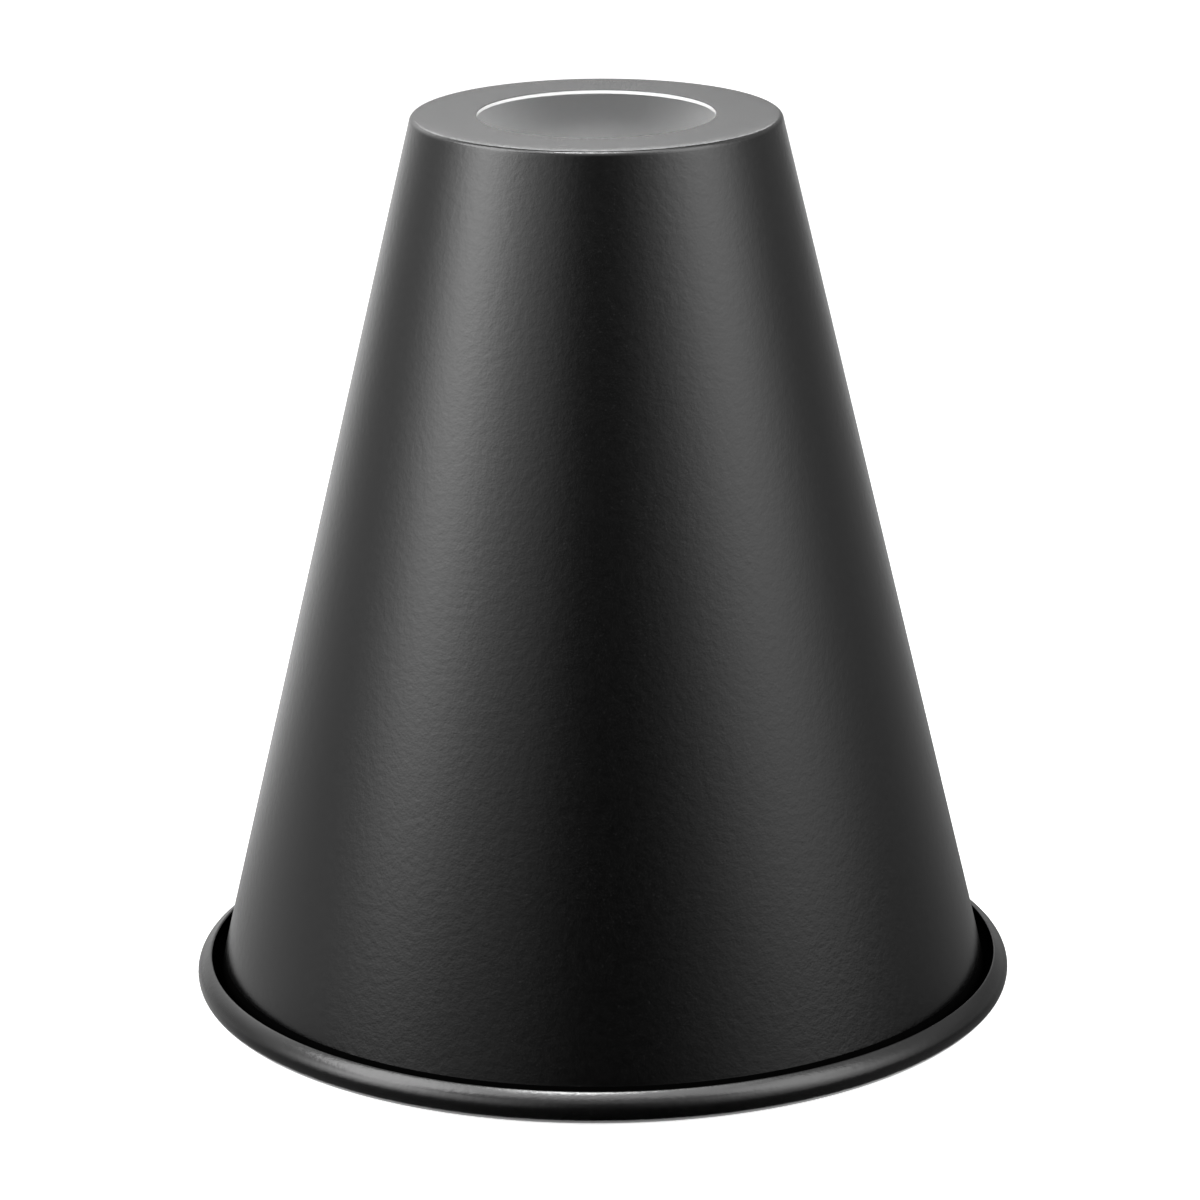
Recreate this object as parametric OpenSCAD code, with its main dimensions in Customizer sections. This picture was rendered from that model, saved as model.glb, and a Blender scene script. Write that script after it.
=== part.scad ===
// Spun metal cone: a one-piece conical shade turned from thin sheet, with a flat holed top
// and a rim curled outwards. It stands on its curled rim, with the origin at the centre of
// the floor circle and +Z up the turning axis.

/* [Cone] */
// Height from the lowest point of the curl to the top face
cone_h = 160; // [110:1:220]
// Diameter over the curled rim, the widest part
rim_d = 148; // [110:1:200]
// Diameter of the top face, measured to the sharp corner that the bend rounds off
top_d = 65; // [58:0.5:90]
// Thickness of the sheet
sheet_t = 0.6; // [0.4:0.05:0.8]

/* [Top plate] */
// Diameter of the hole that a lampholder passes through
hole_d = 42; // [28:0.5:50]
// Outside radius of the bend between the top plate and the wall
corner_r = 1.05; // [0.9:0.05:3]
// Chamfer that deburrs both edges of the hole
edge_break = 0.1; // [0.05:0.01:0.15]

/* [Curled rim] */
// Outside radius of the curl
curl_r = 2.7; // [2.2:0.05:4]
// Gap at the top of the curl, between its edge and the wall of the cone
gutter_w = 2.15; // [1.8:0.05:3.5]

/* [Finish] */
// Colour of the black powder coat outside
coat_colour = "#222223";

/* [Hidden] */
// Names of the pieces
// Facets round a full turn of the sheet, and the largest angle between two points of an arc
turn_fn = 180;
arc_step = 6;

hole_r = hole_d / 2;
top_r = top_d / 2;
// The curl is a half circle: from under the rim, up its outside, to its top
curl_h = 2 * curl_r;
curl_centre = [rim_d / 2 - curl_r, curl_r];
// The wall is straight: its outer face runs from the sharp top corner to the gutter's inner side
lean = atan((curl_centre.x - gutter_w - top_r) / (cone_h - curl_h));
// The corner bend touches the top face and the wall
corner_centre = [top_r - corner_r * tan((90 - lean) / 2), cone_h - corner_r];
// The foot bend touches the wall's inner face, and meets the curl at the floor, under its centre
foot_reach = curl_centre.x - top_r - cone_h * tan(lean) + sheet_t / cos(lean);
foot_r = foot_reach * cos(lean) / (1 - sin(lean));
foot_centre = [curl_centre.x, foot_r];
// The sheet's edge is rounded off by half its thickness
nose_r = sheet_t / 2;
nose_centre = [curl_centre.x, curl_h - nose_r];

// Points along an arc from angle a0 to a1, both ends kept, or the first left out where skip is 1
function arc(centre, r, a0, a1, skip = 0) =
  let (steps = ceil(abs(a1 - a0) / arc_step))
  [for (i = [skip : steps]) let (a = a0 + (a1 - a0) * i / steps) centre + r * [cos(a), sin(a)]];

// The hole's wall, from its top edge down to its lower edge, with both edges deburred
function hole_wall() = [
  [hole_r, cone_h - sheet_t + edge_break],
  [hole_r, cone_h - edge_break],
  [hole_r + edge_break, cone_h]
];

// The face that is seen from outside: corner bend, wall, gutter, and the inside of the curl
function outer_face() = concat(
  arc(corner_centre, corner_r, 90, lean),
  arc(foot_centre, foot_r - sheet_t, 180 + lean, 270),
  arc(curl_centre, curl_r - sheet_t, -90, 90, skip = 1)
);

// Round the edge of the sheet, at the top of the curl
function edge_nose() = arc(nose_centre, nose_r, 270, 90, skip = 1);

// The face that is seen from inside, which the curl turns outwards at the rim
function inner_face() = concat(
  arc(curl_centre, curl_r, 90, -90, skip = 1),
  arc(foot_centre, foot_r, 270, 180 + lean, skip = 1),
  arc(corner_centre, corner_r - sheet_t, lean, 90),
  [[hole_r + edge_break, cone_h - sheet_t]]
);

// The whole sheet, in one piece
module spun_cone() {
  color(coat_colour)
    rotate_extrude($fn = turn_fn)
      polygon(concat(hole_wall(), outer_face(), edge_nose(), inner_face()));
}

spun_cone();
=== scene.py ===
import math

import bmesh
import bpy
from mathutils import Matrix, Vector


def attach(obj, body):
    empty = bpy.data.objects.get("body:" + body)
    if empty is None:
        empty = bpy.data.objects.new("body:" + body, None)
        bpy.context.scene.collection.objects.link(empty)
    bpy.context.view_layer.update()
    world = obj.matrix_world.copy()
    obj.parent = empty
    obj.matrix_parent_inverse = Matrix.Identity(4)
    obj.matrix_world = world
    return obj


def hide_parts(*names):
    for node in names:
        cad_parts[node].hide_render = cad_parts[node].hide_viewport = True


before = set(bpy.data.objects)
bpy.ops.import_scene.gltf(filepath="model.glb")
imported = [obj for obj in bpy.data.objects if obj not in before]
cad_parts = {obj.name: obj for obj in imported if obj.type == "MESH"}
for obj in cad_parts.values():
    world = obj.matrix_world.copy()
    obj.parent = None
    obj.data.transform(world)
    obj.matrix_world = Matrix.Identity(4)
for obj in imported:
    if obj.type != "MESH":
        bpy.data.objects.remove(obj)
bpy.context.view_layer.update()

# A cone spun from one sheet, black powder coat outside and white inside. Sizes are in metres.
scene = bpy.context.scene


def addNode(tree, kind, place, **settings):
    node = tree.nodes.new(kind)
    node.location = place
    for name, value in settings.items():
        setattr(node, name, value)
    return node


def joinNodes(tree, *pairs):
    for fromSocket, toSocket in pairs:
        tree.links.new(fromSocket, toSocket)


# the spun sheet: its section, from the hole over the wall to the curled rim
sheetCone = {
    "height": 0.160,
    "rimDiameter": 0.148,
    "topDiameter": 0.065,
    "thickness": 0.0006,
    "plateThickness": 0.0007,
    "holeDiameter": 0.0418,
    "holeChamfer": 0.0001,
    "cornerRadius": 0.00105,
    "crownRadius": 0.039,
    "crownTurn": 3.5,
    "curlRadius": 0.0027,
    "lipRadius": 0.006,
    "lipStart": 45,
    "lipEnd": 28,
    "gutterWidth": 0.00215,
    "gutterTop": 0.0056,
    "quarterSteps": 60,
    "crownSteps": 5,
    "cornerSteps": 16,
    "footSteps": 14,
    "curlSteps": 28,
    "lipSteps": 6,
    "noseSteps": 10,
    "sharpAngle": 30,
    "weldDistance": 0.000002,
}
# places of the points along a straight stretch, closer together next to a bend
evenStretches = 26
longStops = (0.004, 0.02) + tuple(i / evenStretches for i in range(1, evenStretches)) + (0.98, 0.996, 1.0)
shortStops = (0.05, 0.25, 0.5, 0.75, 0.95, 1.0)
# places of the coats in the cone's list of materials
blackSlot, whiteSlot, paintedShadeGutterSlot = 0, 1, 2


def lineTo(bm, point, x, z, stops=(1.0,)):
    start, end = point.co.copy(), Vector((x, 0, z))
    for share in stops:
        point = bmesh.ops.extrude_vert_indiv(bm, verts=[point])["verts"][0]
        point.co = start.lerp(end, share)
    return point


def arcTo(bm, point, centre, degrees, steps):
    # positive degrees turn from +X towards +Z
    swept = bmesh.ops.spin(bm, geom=[point], cent=(centre[0], 0, centre[1]), axis=(0, -1, 0),
                           angle=math.radians(degrees), steps=steps)
    return [item for item in swept["geom_last"] if isinstance(item, bmesh.types.BMVert)][0]


def turnSection(bm, coatSlot, steps):
    # a quarter turn, which the mirrors below make whole
    edges = [edge for edge in bm.edges if not edge.link_faces]
    points = list({point for edge in edges for point in edge.verts})
    turned = set(bm.faces)
    bmesh.ops.spin(bm, geom=points + edges, cent=(0, 0, 0), axis=(0, 0, 1),
                   angle=math.pi / 2, steps=steps)
    for face in bm.faces:
        if face not in turned:
            face.material_index = coatSlot


def makeCone(size, coats):
    # the top plate is drawn a little thicker than the sheet, as the white edge of its hole looks
    thick, plate, chamfer = size["thickness"], size["plateThickness"], size["holeChamfer"]
    height, holeRadius, topRadius = size["height"], size["holeDiameter"] / 2, size["topDiameter"] / 2
    bend, curl = size["cornerRadius"], size["curlRadius"]
    curlCentre = (size["rimDiameter"] / 2 - curl, curl)
    lean = math.atan((curlCentre[0] - size["gutterWidth"] - topRadius) / (height - 2 * curl))
    turn = 90 - math.degrees(lean)
    # the plate falls off slightly before its bend: a wide arc, which the bend's own arc goes on from
    crown, crownTurn = size["crownRadius"], math.radians(size["crownTurn"])
    fall = crown - (crown - bend) * math.cos(crownTurn)
    crownReach = (crown - bend) * math.sin(crownTurn)
    crownStart = topRadius - crownReach - (bend - fall * math.sin(lean)) / math.cos(lean)
    crownCentre = (crownStart, height - crown)
    bendCentre = (crownStart + crownReach, height - fall)
    # the foot bend touches the wall's inner face and meets the curl on the floor
    footReach = curlCentre[0] - topRadius - height * math.tan(lean) + thick / math.cos(lean)
    foot = footReach * math.cos(lean) / (1 - math.sin(lean))
    footCentre = (curlCentre[0], foot)
    # the curl's last stretch is flatter, as the sheet's edge resists the roll
    lip = size["lipRadius"]
    lipStart, lipEnd = math.radians(size["lipStart"]), math.radians(size["lipEnd"])
    lipCentre = (curlCentre[0] + (curl - lip) * math.sin(lipStart),
                 curlCentre[1] + (curl - lip) * math.cos(lipStart))
    noseReach = lip - thick / 2
    noseCentre = (lipCentre[0] + noseReach * math.sin(lipEnd),
                  lipCentre[1] + noseReach * math.cos(lipEnd))
    rolled, flatter = 180 - size["lipStart"], size["lipStart"] - size["lipEnd"]

    bm = bmesh.new()
    # the black side: hole's edge, top plate, bend and wall, the gutter, then round the curl to the floor
    point = bm.verts.new((holeRadius, 0, height - chamfer))
    point = lineTo(bm, point, holeRadius + chamfer, height)
    point = lineTo(bm, point, crownStart, height, shortStops)
    point = arcTo(bm, point, crownCentre, -size["crownTurn"], size["crownSteps"])
    point = arcTo(bm, point, bendCentre, size["crownTurn"] - turn, size["cornerSteps"])
    gutterFoot = foot - thick
    wallEnd = (footCentre[0] - gutterFoot * math.cos(lean), footCentre[1] - gutterFoot * math.sin(lean))
    gutterTop = (wallEnd[0] - (size["gutterTop"] - wallEnd[1]) * math.tan(lean), size["gutterTop"])
    point = lineTo(bm, point, *gutterTop, longStops)
    turnSection(bm, blackSlot, size["quarterSteps"])
    # the gutter has a matt, darker black of its own: painted shade, so that the gutter, which the curl
    # shades, looks pure black
    point = lineTo(bm, point, *wallEnd, shortStops)
    point = arcTo(bm, point, footCentre, turn, size["footSteps"])
    point = arcTo(bm, point, curlCentre, rolled, size["curlSteps"])
    point = arcTo(bm, point, lipCentre, flatter, size["lipSteps"])
    turnSection(bm, paintedShadeGutterSlot, size["quarterSteps"])
    # round the sheet's edge, and back down the outside of the curl
    point = arcTo(bm, point, noseCentre, -180, size["noseSteps"])
    point = arcTo(bm, point, lipCentre, -flatter, size["lipSteps"])
    point = arcTo(bm, point, curlCentre, -rolled, size["curlSteps"])
    turnSection(bm, blackSlot, size["quarterSteps"])

    # the white side: from the floor up the inside, under the top plate and over the hole's cut edge
    point = bm.verts.new((curlCentre[0], 0, 0))
    point = arcTo(bm, point, footCentre, -turn, size["footSteps"])
    innerBend = bend - plate
    wallTop = (bendCentre[0] + innerBend * math.cos(lean), bendCentre[1] + innerBend * math.sin(lean))
    point = lineTo(bm, point, *wallTop, longStops)
    point = arcTo(bm, point, bendCentre, turn - size["crownTurn"], size["cornerSteps"])
    point = arcTo(bm, point, crownCentre, size["crownTurn"], size["crownSteps"])
    point = lineTo(bm, point, holeRadius + chamfer / 2, height - plate, shortStops)
    point = lineTo(bm, point, holeRadius, height - plate + chamfer / 2)
    point = lineTo(bm, point, holeRadius, height - chamfer)
    turnSection(bm, whiteSlot, size["quarterSteps"])

    bmesh.ops.remove_doubles(bm, verts=bm.verts, dist=size["weldDistance"])
    for axis in ("X", "Y"):
        bmesh.ops.mirror(bm, geom=bm.verts[:] + bm.edges[:] + bm.faces[:], matrix=Matrix(),
                         merge_dist=size["weldDistance"], axis=axis)
    bmesh.ops.recalc_face_normals(bm, faces=bm.faces)
    for face in bm.faces:
        face.smooth = True
    for edge in bm.edges:
        edge.smooth = edge.calc_face_angle(0) < math.radians(size["sharpAngle"])

    mesh = bpy.data.meshes.new("spunSheet")
    bm.to_mesh(mesh)
    bm.free()
    for coat in coats:
        mesh.materials.append(coat)
    piece = bpy.data.objects.new("spunSheet", mesh)
    scene.collection.objects.link(piece)
    return piece


# the spray's pattern: a size in millimetres divides the scale, and each coat sets its own sizes and shares
sprayPattern = {
    "noiseScale": 1000,
    "peelDetail": 1.0,
    "peelRoughness": 0.4,
    "grainDetail": 2.0,
    "grainRoughness": 0.6,
    "speckScale": 1400,
    "speckReach": 0.42,
}


def makeSprayGroup(pattern):
    # the relief and the faint unevenness of a sprayed, baked coat
    group = bpy.data.node_groups.new("sprayedCoat", "ShaderNodeTree")
    sockets = group.interface
    for name, value in (("Peel Size", 1.3), ("Grain Size", 0.5), ("Grain Share", 0.3), ("Speck Share", 0.02)):
        socket = sockets.new_socket(name, in_out="INPUT", socket_type="NodeSocketFloat")
        socket.default_value = value
    for name in ("Height", "Mottle", "Specks"):
        sockets.new_socket(name, in_out="OUTPUT", socket_type="NodeSocketFloat")
    gIn = addNode(group, "NodeGroupInput", (-900, 0))
    gOut = addNode(group, "NodeGroupOutput", (700, 0))
    coords = addNode(group, "ShaderNodeTexCoord", (-900, 300))

    def noiseOf(sizeSocket, y, detail, roughness):
        scale = addNode(group, "ShaderNodeMath", (-650, y), operation="DIVIDE")
        scale.inputs[0].default_value = pattern["noiseScale"]
        noise = addNode(group, "ShaderNodeTexNoise", (-400, y), noise_dimensions="3D")
        noise.inputs["Detail"].default_value = detail
        noise.inputs["Roughness"].default_value = roughness
        joinNodes(group, (sizeSocket, scale.inputs[1]), (scale.outputs[0], noise.inputs["Scale"]),
                  (coords.outputs["Object"], noise.inputs["Vector"]))
        return noise

    peel = noiseOf(gIn.outputs["Peel Size"], 200, pattern["peelDetail"], pattern["peelRoughness"])
    grain = noiseOf(gIn.outputs["Grain Size"], -100, pattern["grainDetail"], pattern["grainRoughness"])
    mix = addNode(group, "ShaderNodeMix", (-100, 100), data_type="FLOAT")
    joinNodes(group, (gIn.outputs["Grain Share"], mix.inputs["Factor"]),
              (peel.outputs["Fac"], mix.inputs["A"]), (grain.outputs["Fac"], mix.inputs["B"]),
              (mix.outputs["Result"], gOut.inputs["Height"]), (peel.outputs["Fac"], gOut.inputs["Mottle"]))

    # specks: the few cells of a fine pattern that fall under the share
    cells = addNode(group, "ShaderNodeTexVoronoi", (-400, -400), feature="F1")
    scale = addNode(group, "ShaderNodeMath", (-650, -400), operation="DIVIDE")
    scale.inputs[0].default_value = pattern["speckScale"]
    spread = addNode(group, "ShaderNodeSeparateColor", (-200, -450))
    chosen = addNode(group, "ShaderNodeMath", (0, -450), operation="LESS_THAN")
    near = addNode(group, "ShaderNodeMath", (0, -300), operation="LESS_THAN")
    near.inputs[1].default_value = pattern["speckReach"]
    both = addNode(group, "ShaderNodeMath", (250, -350), operation="MULTIPLY")
    joinNodes(group, (gIn.outputs["Grain Size"], scale.inputs[1]), (scale.outputs[0], cells.inputs["Scale"]),
              (coords.outputs["Object"], cells.inputs["Vector"]), (cells.outputs["Color"], spread.inputs[0]),
              (spread.outputs["Red"], chosen.inputs[0]), (gIn.outputs["Speck Share"], chosen.inputs[1]),
              (cells.outputs["Distance"], near.inputs[0]), (chosen.outputs[0], both.inputs[0]),
              (near.outputs[0], both.inputs[1]), (both.outputs[0], gOut.inputs["Specks"]))
    return group


def makeCoat(name, sprayGroup, look):
    material = bpy.data.materials.new(name)
    material.use_nodes = True
    tree = material.node_tree
    shader = tree.nodes["Principled BSDF"]
    shader.inputs["IOR"].default_value = look["ior"]
    shader.inputs["Specular IOR Level"].default_value = look["gloss"]
    spray = addNode(tree, "ShaderNodeGroup", (-900, 0), node_tree=sprayGroup)
    for socket, value in look["spray"].items():
        spray.inputs[socket].default_value = value

    shade = addNode(tree, "ShaderNodeMix", (-600, 300), data_type="RGBA")
    shade.inputs["A"].default_value = (*look["darkColour"], 1)
    shade.inputs["B"].default_value = (*look["lightColour"], 1)
    flecks = addNode(tree, "ShaderNodeMix", (-350, 300), data_type="RGBA")
    flecks.inputs["B"].default_value = (*look["speckColour"], 1)
    rough = addNode(tree, "ShaderNodeMapRange", (-600, 0))
    rough.inputs["To Min"].default_value = look["roughness"][0]
    rough.inputs["To Max"].default_value = look["roughness"][1]
    bump = addNode(tree, "ShaderNodeBump", (-350, -250))
    bump.inputs["Strength"].default_value = 1
    bump.inputs["Distance"].default_value = look["relief"]
    joinNodes(tree, (spray.outputs["Mottle"], shade.inputs["Factor"]),
              (shade.outputs["Result"], flecks.inputs["A"]),
              (spray.outputs["Specks"], flecks.inputs["Factor"]),
              (flecks.outputs["Result"], shader.inputs["Base Color"]),
              (spray.outputs["Mottle"], rough.inputs["Value"]),
              (rough.outputs["Result"], shader.inputs["Roughness"]),
              (spray.outputs["Height"], bump.inputs["Height"]),
              (bump.outputs["Normal"], shader.inputs["Normal"]))
    return material


blackCoat = {
    "darkColour": (0.0012, 0.0012, 0.0012),
    "lightColour": (0.0022, 0.0022, 0.0022),
    "speckColour": (0.009, 0.009, 0.009),
    "roughness": (0.19, 0.25),
    "ior": 1.5,
    "gloss": 0.5,
    "relief": 0.00005,
    "spray": {"Peel Size": 1.3, "Grain Size": 0.42, "Grain Share": 0.45, "Speck Share": 0.02},
}
whiteCoat = {
    "darkColour": (0.88, 0.88, 0.88),
    "lightColour": (0.91, 0.91, 0.91),
    "speckColour": (0.9, 0.9, 0.9),
    "roughness": (0.40, 0.48),
    "ior": 1.5,
    "gloss": 0.5,
    "relief": 0.00001,
    "spray": {"Peel Size": 1.6, "Grain Size": 0.6, "Grain Share": 0.3, "Speck Share": 0.0},
}
# painted shade: a duller, darker black for the foot of the wall, the gutter and the inside of the curl, where
# the curl shades the sheet
paintedShadeGutterLook = {
    "darkColour": (0.0012, 0.0012, 0.0012),
    "lightColour": (0.0018, 0.0018, 0.0018),
    "speckColour": (0.003, 0.003, 0.003),
    "roughness": (0.6, 0.7),
    "ior": 1.5,
    "gloss": 0.0,
    "relief": 0.00001,
    "spray": {"Peel Size": 1.5, "Grain Size": 0.5, "Grain Share": 0.35, "Speck Share": 0.0},
}

sprayGroup = makeSprayGroup(sprayPattern)
# the coats stand in the order of their slots
cone = makeCone(sheetCone, (makeCoat("blackPowderCoat", sprayGroup, blackCoat),
                            makeCoat("whiteInsideCoat", sprayGroup, whiteCoat),
                            makeCoat("paintedShadeGutterCoat", sprayGroup, paintedShadeGutterLook)))
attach(cone, "root")
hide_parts("spun_cone")
print("cone turned:", len(cone.data.polygons), "faces")


# floor, backdrop and light
studio = {
    "floorSize": 8.0,
    "floorColour": (0.8, 0.8, 0.8),
    "floorRoughness": 0.9,
    "floorGloss": 0.1,
    "floorLift": 0.85,
    "worldLevel": 0.3,
    "lampAim": (0, 0, 0.08),
}
# What the gloss sees round the cone: a tall screen, and a cloth on the floor inside it. Their glow is
# the sum of layers, each given by angle from the camera's side (positive is on the right) as a share of
# its top level: on the screen the room near the floor, a soft box on either side and the room higher up,
# and the cloth's own shade on the cloth. A layer also changes with height, from its first share to its
# second between the two heights.
screens = {
    "radius": 0.6,
    "height": 0.62,
    "steps": 72,
    "clothStart": 0.0736,
    "clothLift": 0.0004,
    "low": {
        "top": 1.2, "heights": (0.07, 0.24), "shares": (1.0, 0.2),
        "ramp": ((-180, 0.78), (-153, 0.8), (-142, 0.73), (-132, 0.57), (-123, 0.47), (-112, 0.41),
                 (-96, 0.3), (-78, 0.17), (-60, 0.05), (-45, 0), (45, 0), (60, 0.06), (78, 0.18),
                 (96, 0.2), (112, 0.19), (123, 0.2), (132, 0.22), (142, 0.27), (153, 0.37), (165, 0.55),
                 (180, 0.78)),
    },
    "left": {
        "top": 6.4, "heights": (0.02, 0.28), "shares": (0.12, 1.0),
        "ramp": ((-180, 0), (-128, 0), (-108, 0.07), (-96, 0.21), (-84, 0.53), (-72, 0.94), (-60, 0.82),
                 (-48, 0.46), (-36, 0.25), (-24, 0.13), (-12, 0.03), (0, 0), (180, 0)),
    },
    "right": {
        "top": 6.4, "heights": (0.0, 0.45), "shares": (0.2, 1.43),
        "ramp": ((-180, 0), (0, 0), (12, 0.01), (24, 0.06), (36, 0.16), (48, 0.33), (60, 0.47), (72, 0.45),
                 (84, 0.28), (96, 0.12), (108, 0.05), (128, 0.02), (150, 0), (180, 0)),
    },
    "high": {
        "top": 2.0, "heights": (0.1, 0.4), "shares": (0.0, 1.0),
        "ramp": ((-180, 0.37), (-165, 0.55), (-150, 0.9), (-135, 0.8), (-110, 0.32), (-80, 0.2), (-50, 0.1),
                 (50, 0.1), (80, 0.14), (110, 0.15), (145, 0.2), (165, 0.26), (180, 0.37)),
    },
    "cloth": {
        "top": 1.0, "heights": (0.0, 1.0), "shares": (1.0, 1.0),
        "ramp": ((-180, 0.9), (-153, 0.95), (-142, 0.85), (-132, 0.7), (-123, 0.6), (-112, 0.57),
                 (-96, 0.6), (-84, 0.62), (-72, 0.48), (-60, 0.3), (-40, 0.2), (-20, 0.08), (0, 0),
                 (20, 0.04), (40, 0.14), (60, 0.17), (72, 0.15), (84, 0.2), (132, 0.28), (142, 0.33),
                 (153, 0.47), (165, 0.65), (180, 0.9)),
    },
    # a dim card high up at the back, which keeps the bend at the top edge dark between its two light lines
    "card": {
        "bottom": 0.62, "height": 1.25, "sweep": 70,
        "top": 0.25, "heights": (0.0, 1.0), "shares": (1.0, 1.0), "ramp": ((-180, 1), (180, 1)),
    },
}
# Each lamp: angle from the camera's side, distance, height, width, length, radiance, whether it is seen
# in gloss and whether it lights surfaces
lamps = {
    "leftBox": (-68, 0.65, 0.40, 0.40, 0.40, 10.0, False, True),
    "rightBox": (66, 0.65, 0.40, 0.40, 0.40, 7.5, False, True),
    "frontBox": (0, 0.62, 0.66, 0.50, 0.30, 6.0, False, True),
    "leftTopBox": (-90, 0.47, 0.66, 0.47, 0.40, 6.6, True, False),
    "rightTopBox": (75, 0.56, 0.82, 0.50, 0.36, 4.0, True, False),
    "ceilingBox": (0, 0.02, 1.15, 0.90, 0.70, 3.2, True, False),
    "hotBox": (-154, 0.145, 1.11, 0.30, 0.12, 42.0, True, False),
    "backStrip": (180, 0.57, 0.42, 0.50, 0.06, 6.0, True, False),
}


def seenByEye(tree):
    # 1 where the eye sees the surface, directly, in a gloss or through glass
    path = addNode(tree, "ShaderNodeLightPath", (-900, 300))
    first = addNode(tree, "ShaderNodeMath", (-650, 300), operation="MAXIMUM")
    second = addNode(tree, "ShaderNodeMath", (-450, 300), operation="MAXIMUM")
    joinNodes(tree, (path.outputs["Is Camera Ray"], first.inputs[0]),
              (path.outputs["Is Glossy Ray"], first.inputs[1]),
              (first.outputs[0], second.inputs[0]),
              (path.outputs["Is Transmission Ray"], second.inputs[1]))
    return second.outputs[0]


def makeFloor():
    material = bpy.data.materials.new("paleFloor")
    material.use_nodes = True
    tree = material.node_tree
    shader = tree.nodes["Principled BSDF"]
    shader.inputs["Base Color"].default_value = (*studio["floorColour"], 1)
    shader.inputs["Roughness"].default_value = studio["floorRoughness"]
    shader.inputs["Specular IOR Level"].default_value = studio["floorGloss"]
    shader.inputs["Emission Color"].default_value = (1, 1, 1, 1)
    lift = addNode(tree, "ShaderNodeMath", (-250, 200), operation="MULTIPLY")
    lift.inputs[1].default_value = studio["floorLift"]
    joinNodes(tree, (seenByEye(tree), lift.inputs[0]),
              (lift.outputs[0], shader.inputs["Emission Strength"]))

    bm = bmesh.new()
    bmesh.ops.create_grid(bm, x_segments=1, y_segments=1, size=studio["floorSize"] / 2)
    mesh = bpy.data.meshes.new("floor")
    bm.to_mesh(mesh)
    bm.free()
    mesh.materials.append(material)
    floor = bpy.data.objects.new("floor", mesh)
    scene.collection.objects.link(floor)


def makeWorld():
    world = bpy.data.worlds.new("paleRoom")
    world.use_nodes = True
    scene.world = world
    tree = world.node_tree
    background = tree.nodes["Background"]
    background.inputs["Color"].default_value = (1, 1, 1, 1)
    level = addNode(tree, "ShaderNodeMapRange", (-250, 200))
    level.inputs["To Min"].default_value = studio["worldLevel"]
    level.inputs["To Max"].default_value = 1
    joinNodes(tree, (seenByEye(tree), level.inputs["Value"]),
              (level.outputs["Result"], background.inputs["Strength"]))


def gradedGlow(name, layers):
    # a glow that changes with the angle round the cone and with height
    material = bpy.data.materials.new(name)
    material.use_nodes = True
    tree = material.node_tree
    tree.nodes.clear()
    out = addNode(tree, "ShaderNodeOutputMaterial", (1400, 0))
    glow = addNode(tree, "ShaderNodeEmission", (1200, 0))
    coords = addNode(tree, "ShaderNodeTexCoord", (-600, 0))
    split = addNode(tree, "ShaderNodeSeparateXYZ", (-400, 0))
    flip = addNode(tree, "ShaderNodeMath", (-200, -100), operation="MULTIPLY")
    flip.inputs[1].default_value = -1
    angle = addNode(tree, "ShaderNodeMath", (0, 0), operation="ARCTAN2")
    share = addNode(tree, "ShaderNodeMapRange", (180, 0))
    share.inputs["From Min"].default_value, share.inputs["From Max"].default_value = -math.pi, math.pi
    joinNodes(tree, (coords.outputs["Object"], split.inputs[0]), (split.outputs["Y"], flip.inputs[0]),
              (split.outputs["X"], angle.inputs[0]), (flip.outputs[0], angle.inputs[1]),
              (angle.outputs[0], share.inputs["Value"]), (glow.outputs[0], out.inputs["Surface"]))
    total = None
    for y, layer in zip((600, 200, -200, -600), layers):
        shape = addNode(tree, "ShaderNodeValToRGB", (400, y))
        shape.color_ramp.interpolation = "CARDINAL"
        stops = shape.color_ramp.elements
        while len(stops) < len(layer["ramp"]):
            stops.new(0.5)
        for stop, (degrees, level) in zip(stops, layer["ramp"]):
            stop.position = degrees / 360 + 0.5
            stop.color = (level, level, level, 1)
        rise = addNode(tree, "ShaderNodeMapRange", (400, y - 220))
        rise.inputs["From Min"].default_value, rise.inputs["From Max"].default_value = layer["heights"]
        rise.inputs["To Min"].default_value = layer["top"] * layer["shares"][0]
        rise.inputs["To Max"].default_value = layer["top"] * layer["shares"][1]
        both = addNode(tree, "ShaderNodeMath", (750, y), operation="MULTIPLY")
        joinNodes(tree, (share.outputs["Result"], shape.inputs["Fac"]),
                  (split.outputs["Z"], rise.inputs["Value"]),
                  (shape.outputs["Color"], both.inputs[0]), (rise.outputs["Result"], both.inputs[1]))
        if total is None:
            total = both
        else:
            added = addNode(tree, "ShaderNodeMath", (950, y), operation="ADD")
            joinNodes(tree, (total.outputs[0], added.inputs[0]), (both.outputs[0], added.inputs[1]))
            total = added
    joinNodes(tree, (total.outputs[0], glow.inputs["Strength"]))
    return material


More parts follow.
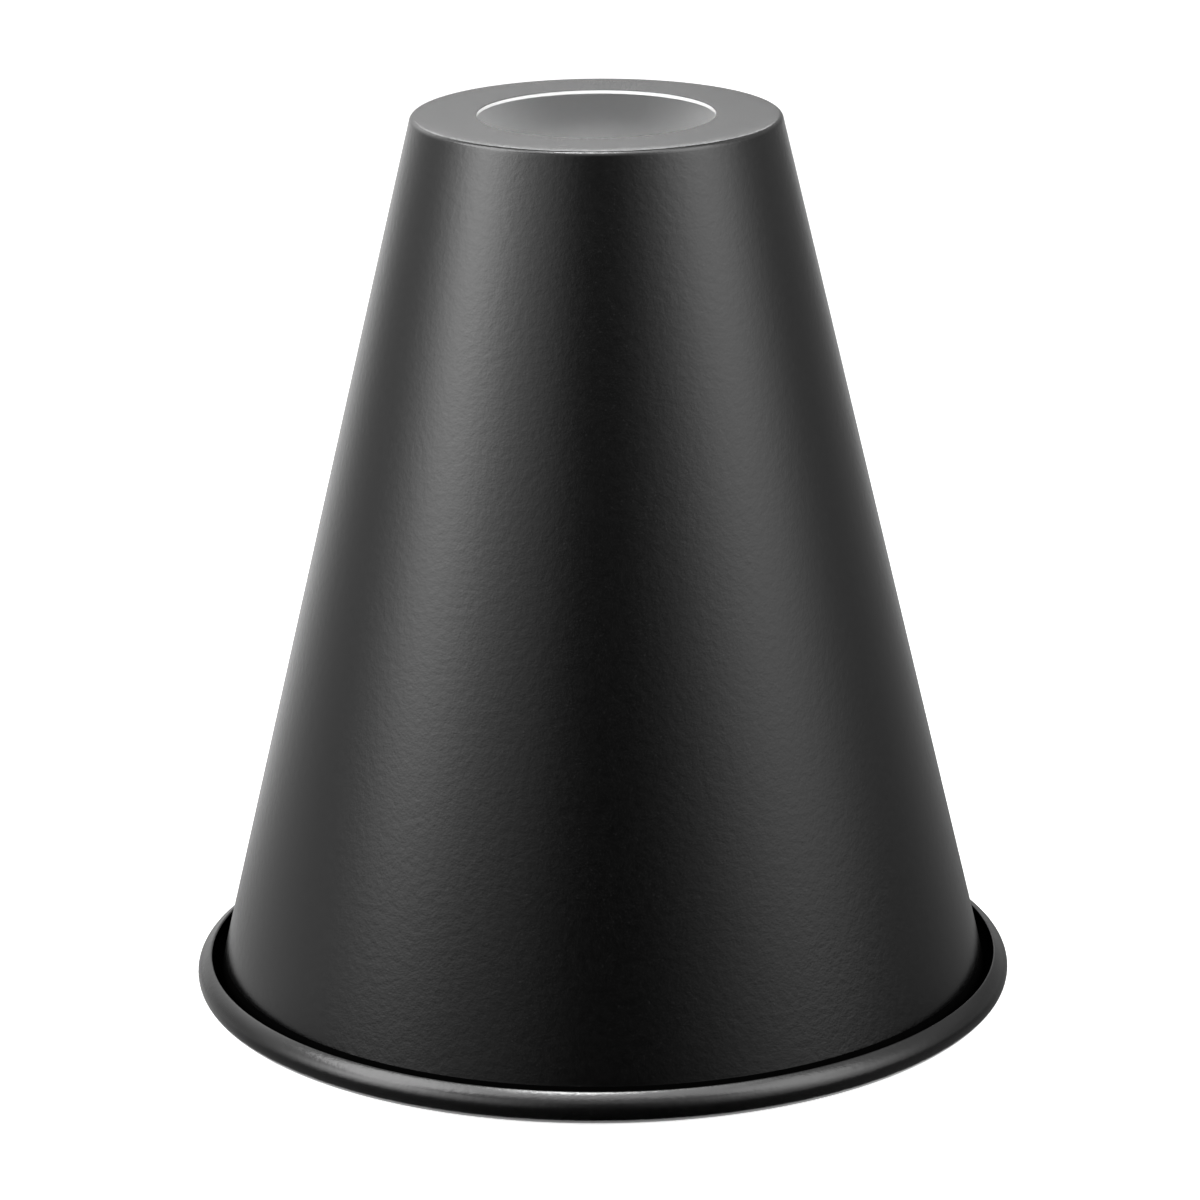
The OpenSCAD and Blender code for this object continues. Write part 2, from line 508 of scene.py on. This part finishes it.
def makeScreens():
    # they are seen in gloss alone: the cloth is spun from a radial edge, screen and card from upright ones
    radius, lift, card = screens["radius"], screens["clothLift"], screens["card"]
    for name, start, end, sweep, layers in (
            ("floorCloth", (screens["clothStart"], lift), (radius, lift), 360, ("cloth",)),
            ("screen", (radius, lift), (radius, screens["height"]), 360, ("low", "left", "right", "high")),
            ("backCard", (radius, card["bottom"]), (radius, card["height"]), card["sweep"], ("card",))):
        bm = bmesh.new()
        turned = Matrix.Rotation(math.radians(90 - sweep / 2), 3, "Z")
        edge = bm.edges.new([bm.verts.new(turned @ Vector((reach, 0, z))) for reach, z in (start, end)])
        bmesh.ops.spin(bm, geom=[*edge.verts, edge], cent=(0, 0, 0), axis=(0, 0, 1),
                       angle=math.radians(sweep), steps=screens["steps"], use_merge=sweep == 360)
        mesh = bpy.data.meshes.new(name)
        bm.to_mesh(mesh)
        bm.free()
        mesh.materials.append(gradedGlow(name + "Glow", [screens[layer] for layer in layers]))
        piece = bpy.data.objects.new(name, mesh)
        scene.collection.objects.link(piece)
        piece.visible_camera = piece.visible_diffuse = piece.visible_shadow = False


def makeLamps():
    aim = Vector(studio["lampAim"])
    for name, (azimuth, distance, height, width, tall, radiance, inGloss, onSurfaces) in lamps.items():
        light = bpy.data.lights.new(name, "AREA")
        light.shape = "RECTANGLE"
        light.size, light.size_y = width, tall
        light.energy = radiance * math.pi * width * tall
        lamp = bpy.data.objects.new(name, light)
        angle = math.radians(azimuth)
        lamp.location = (distance * math.sin(angle), -distance * math.cos(angle), height)
        lamp.rotation_euler = (aim - lamp.location).to_track_quat("-Z", "Y").to_euler()
        lamp.visible_camera = False
        lamp.visible_glossy, lamp.visible_diffuse = inGloss, onSurfaces
        scene.collection.objects.link(lamp)


makeFloor()
makeWorld()
makeScreens()
makeLamps()
print("studio lit:", len(lamps), "lamps")


# the camera stands where the photograph was taken from
shot = {
    "place": (0, -0.8749, 0.3370),
    "pitchDown": 0.2949,
    "roll": -0.0077,
    "lens": 152.8,
    "sensorWidth": 36,
    "clipEnd": 50,
}
cameraData = bpy.data.cameras.new("camera")
cameraData.lens = shot["lens"]
cameraData.sensor_width = shot["sensorWidth"]
cameraData.clip_end = shot["clipEnd"]
camera = bpy.data.objects.new("camera", cameraData)
camera.location = shot["place"]
lookAlong = Vector((0, math.cos(shot["pitchDown"]), -math.sin(shot["pitchDown"])))
camera.rotation_euler = lookAlong.to_track_quat("-Z", "Y").to_euler()
camera.rotation_euler.rotate_axis("Z", shot["roll"])
scene.collection.objects.link(camera)
scene.camera = camera
scene.view_settings.view_transform = "Standard"
print("camera set")
